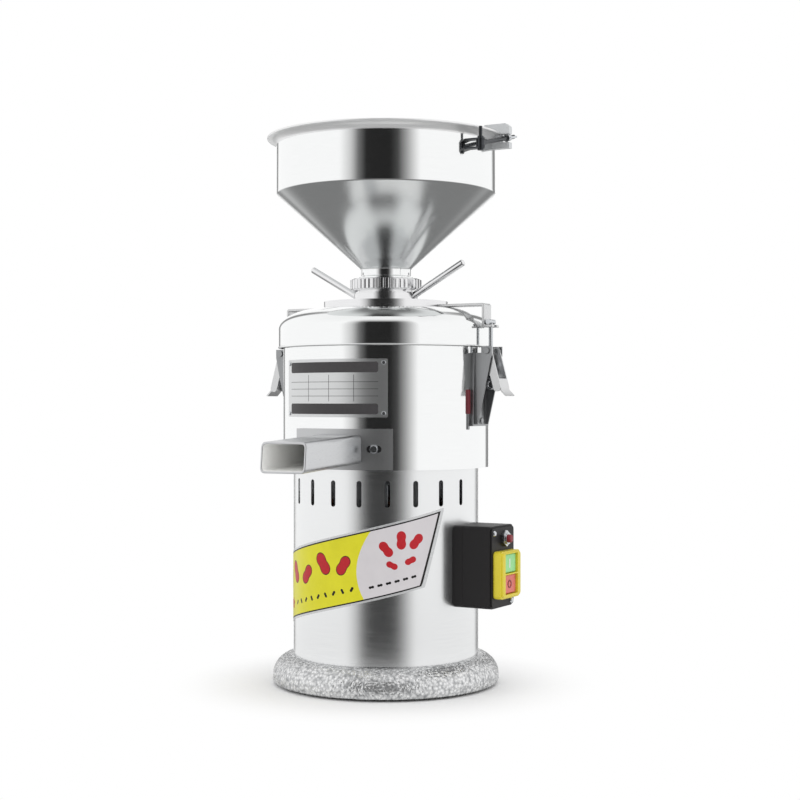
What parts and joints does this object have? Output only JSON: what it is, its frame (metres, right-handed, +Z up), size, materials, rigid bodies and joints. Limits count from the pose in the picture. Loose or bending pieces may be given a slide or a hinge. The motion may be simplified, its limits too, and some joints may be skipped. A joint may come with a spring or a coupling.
{
  "type": "nut butter grinder",
  "caption": "Upright stone grinder with a funnel hopper, toothed adjuster, latched domed cover, square spout, vented barrel and round cast foot.",
  "frame": {"origin": "centre of the bench bolt circle, on the surface that the feet stand on; the machine's axis is Z", "axes": "+Z up along the machine's axis, -Y is the front and +X is the switch side as seen in the picture"},
  "size_m": [0.3059, 0.3911, 0.66],
  "materials": {
    "cast_base": "hammered silver paint",
    "foot_rubber": "matt black",
    "casing_steel": "polished stainless",
    "drum_steel": "polished stainless",
    "cover_steel": "polished stainless",
    "hopper_steel": "satin stainless outside the cone, polished bowl",
    "turned_steel": "turned and polished",
    "fastener_steel": "bright zinc",
    "latch_steel": "pressed and polished",
    "shield_aluminium": "as cast",
    "core_steel": "lacquered laminations",
    "copper": "varnished copper",
    "bearing_steel": "ground",
    "capacitor_case": "smooth",
    "millstone": "dressed abrasive stone",
    "seal_rubber": "food-grade silicone",
    "shaft_seal_rubber": "oil-proof rubber",
    "plate_aluminium": "printed, brushed",
    "label_film": "printed film",
    "black_plastic": "moulded",
    "yellow_plastic": "moulded",
    "green_plastic": "moulded",
    "red_plastic": "moulded",
    "strip_red": "moulded strip",
    "gland_plastic": "moulded nylon"
  },
  "bodies": {
    "root": {"base": "cast_base", "feet": "foot_rubber", "guard_plate": "casing_steel", "guard_screws": "fastener_steel", "motor_casing": "casing_steel", "cable_gland": "gland_plastic", "lower_shield": "shield_aluminium", "stator": "core_steel", "windings": "copper", "upper_shield": "shield_aluminium", "tie_rods": "fastener_steel", "bearings": "bearing_steel", "capacitor": "capacitor_case", "chamber": "drum_steel", "floor_screws": "fastener_steel", "shaft_seal": "shaft_seal_rubber", "cover": "cover_steel", "cover_seal": "seal_rubber", "threaded_hub": "turned_steel", "spout_gasket": "seal_rubber", "spout_flange": "drum_steel", "spout": "drum_steel", "spout_bolts": "fastener_steel", "nameplate": "plate_aluminium", "plate_rivets": "fastener_steel", "label": "label_film", "switch_back": "black_plastic", "switch_box": "black_plastic", "switch_bezel": "yellow_plastic", "reset_nut": "fastener_steel", "switch_screws": "fastener_steel", "latch_plate_a": "latch_steel", "latch_plate_b": "latch_steel", "latch_strips": "strip_red", "latch_keeper_a": "latch_steel", "latch_keeper_b": "latch_steel"},
    "drive": {"shaft": "turned_steel", "rotor": "core_steel", "fan": "black_plastic", "stone_carrier": "turned_steel", "lower_stone": "millstone", "shaft_nut": "fastener_steel"},
    "upper_stone": {"stone_holder": "turned_steel", "upper_stone": "millstone"},
    "adjuster": {"adjuster": "turned_steel"},
    "lock_nut": {"lock_nut": "turned_steel", "lock_rods": "turned_steel"},
    "hopper": {"hopper": "hopper_steel", "hopper_rim": "hopper_steel", "rim_bracket": "fastener_steel", "pin_eye": "fastener_steel"},
    "swing_rod": {"swing_rod": "fastener_steel"},
    "wing_nut": {"wing_nut": "fastener_steel"},
    "latch_lever_a": {"latch_lever_a": "latch_steel"},
    "latch_lever_b": {"latch_lever_b": "latch_steel"},
    "latch_rod_a": {"latch_rod_a": "fastener_steel"},
    "latch_rod_b": {"latch_rod_b": "fastener_steel"},
    "start_button": {"start_button": "green_plastic"},
    "stop_button": {"stop_button": "red_plastic"},
    "reset_button": {"reset_button": "red_plastic"}
  },
  "joints": [
    {"name": "drive_spin", "type": "hinge", "parent": "root", "child": "drive", "pos_m": [0, 0, 0.3], "axis": [0, 0, 1], "continuous": true},
    {"name": "adjuster_turn", "type": "hinge", "parent": "root", "child": "adjuster", "pos_m": [0, 0, 0.473], "axis": [0, 0, 1], "range_deg": [-90, 180]},
    {"name": "stone_travel", "type": "slide", "parent": "root", "child": "upper_stone", "axis": [0, 0, 1], "range_m": [-0.00052, 0.00102]},
    {"name": "lock_turn", "type": "hinge", "parent": "root", "child": "lock_nut", "pos_m": [0, 0, 0.46], "axis": [0, 0, 1], "range_deg": [0, 90]},
    {"name": "hopper_lift", "type": "slide", "parent": "adjuster", "child": "hopper", "axis": [0, 0, 1], "range_m": [0, 0.015]},
    {"name": "swing_rod_swing", "type": "hinge", "parent": "hopper", "child": "swing_rod", "pos_m": [0.10821, -0.09914, 0.6285], "axis": [0, 0, -1], "range_deg": [0, 90]},
    {"name": "wing_nut_spin", "type": "hinge", "parent": "swing_rod", "child": "wing_nut", "pos_m": [0.10821, -0.09914, 0.6285], "axis": [0.4798, 0.848, 0.225], "continuous": true},
    {"name": "latch_a_open", "type": "hinge", "parent": "root", "child": "latch_lever_a", "pos_m": [0.12354, -0.06569, 0.3939], "axis": [-0.4695, -0.8829, 0], "range_deg": [0, 110]},
    {"name": "latch_a_rod", "type": "hinge", "parent": "latch_lever_a", "child": "latch_rod_a", "pos_m": [0.12185, -0.06479, 0.37198], "axis": [-0.4695, -0.8829, 0], "range_deg": [-111, 1]},
    {"name": "latch_b_open", "type": "hinge", "parent": "root", "child": "latch_lever_b", "pos_m": [-0.12354, 0.06569, 0.3939], "axis": [0.4695, 0.8829, 0], "range_deg": [0, 110]},
    {"name": "latch_b_rod", "type": "hinge", "parent": "latch_lever_b", "child": "latch_rod_b", "pos_m": [-0.12185, 0.06479, 0.37198], "axis": [0.4695, 0.8829, 0], "range_deg": [-111, 1]},
    {"name": "start_press", "type": "slide", "parent": "root", "child": "start_button", "axis": [-0.866, 0.5, 0], "range_m": [0, 0.003], "stiffness_N_per_m": 400},
    {"name": "stop_press", "type": "slide", "parent": "root", "child": "stop_button", "axis": [-0.866, 0.5, 0], "range_m": [0, 0.003], "stiffness_N_per_m": 400},
    {"name": "reset_press", "type": "slide", "parent": "root", "child": "reset_button", "axis": [-0.866, 0.5, 0], "range_m": [0, 0.003], "stiffness_N_per_m": 400}
  ],
  "couplings": [
    {"joint": "stone_travel", "follows": "adjuster_turn", "m_per_rad": 0.00031831},
    {"joint": "latch_a_rod", "follows": "latch_a_open", "ratio": -1},
    {"joint": "latch_b_rod", "follows": "latch_b_open", "ratio": -1}
  ]
}
